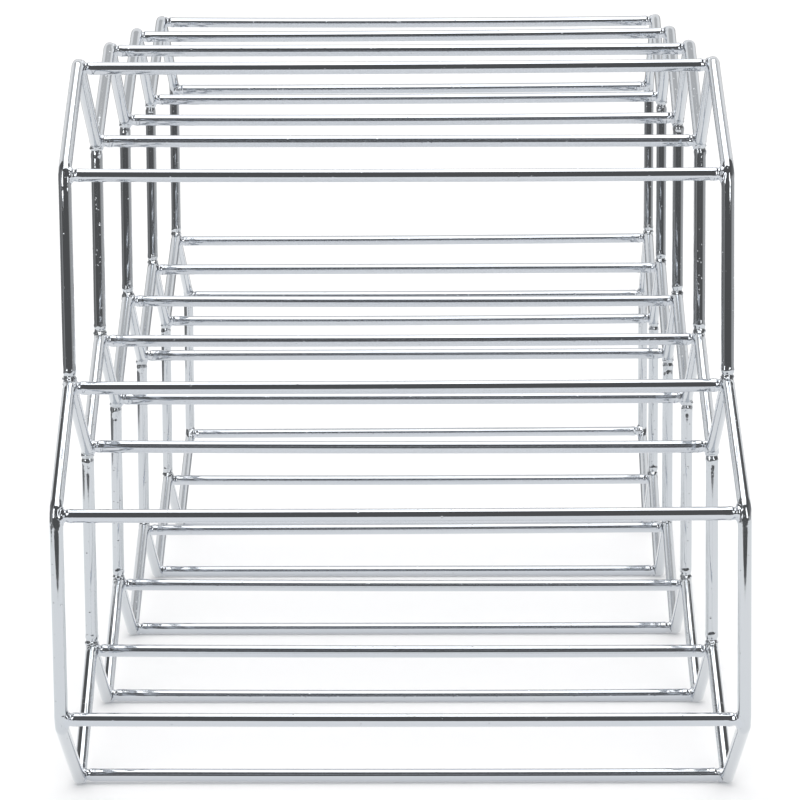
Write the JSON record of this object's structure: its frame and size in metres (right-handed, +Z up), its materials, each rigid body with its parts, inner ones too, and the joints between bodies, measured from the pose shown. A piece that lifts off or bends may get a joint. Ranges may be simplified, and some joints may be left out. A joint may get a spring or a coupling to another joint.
{
  "type": "honeycomb wire rack",
  "caption": "Free-standing chromed wire rack with staggered rows of open hexagonal cells: bent-wire side frames joined by straight cross rods welded at every corner.",
  "frame": {"origin": "centre of the rack's footprint, on the surface it stands on", "axes": "+X along the cross rods, towards the right side frame; +Y along the rack, from the near end to the far end; +Z up"},
  "size_m": [0.204, 0.554, 0.2207],
  "materials": {
    "frame_wire": "bright chrome plate on bent steel wire",
    "cross_rod": "bright chrome plate on straight steel wire"
  },
  "bodies": {
    "root": {"bottom_rod_1": "cross_rod", "bottom_rod_2": "cross_rod", "bottom_rod_3": "cross_rod", "bottom_rod_4": "cross_rod", "bottom_rod_5": "cross_rod", "left_lower_loop": "frame_wire", "left_lower_upright_1": "frame_wire", "left_lower_upright_2": "frame_wire", "left_lower_upright_3": "frame_wire", "left_lower_upright_4": "frame_wire", "left_top_zigzag": "frame_wire", "left_upper_upright_1": "frame_wire", "left_upper_upright_2": "frame_wire", "left_upper_upright_3": "frame_wire", "lower_middle_rod_1": "cross_rod", "lower_middle_rod_2": "cross_rod", "lower_middle_rod_3": "cross_rod", "lower_middle_rod_4": "cross_rod", "lower_middle_rod_5": "cross_rod", "lower_middle_rod_6": "cross_rod", "lower_rod_1": "cross_rod", "lower_rod_2": "cross_rod", "lower_rod_3": "cross_rod", "lower_rod_4": "cross_rod", "lower_rod_5": "cross_rod", "lower_rod_6": "cross_rod", "right_lower_loop": "frame_wire", "right_lower_upright_1": "frame_wire", "right_lower_upright_2": "frame_wire", "right_lower_upright_3": "frame_wire", "right_lower_upright_4": "frame_wire", "right_top_zigzag": "frame_wire", "right_upper_upright_1": "frame_wire", "right_upper_upright_2": "frame_wire", "right_upper_upright_3": "frame_wire", "shoulder_rod_1": "cross_rod", "shoulder_rod_2": "cross_rod", "shoulder_rod_3": "cross_rod", "shoulder_rod_4": "cross_rod", "shoulder_rod_5": "cross_rod", "top_rod_1": "cross_rod", "top_rod_2": "cross_rod", "top_rod_3": "cross_rod", "top_rod_4": "cross_rod", "upper_middle_rod_1": "cross_rod", "upper_middle_rod_2": "cross_rod", "upper_middle_rod_3": "cross_rod", "upper_middle_rod_4": "cross_rod", "upper_middle_rod_5": "cross_rod"}
  },
  "joints": []
}
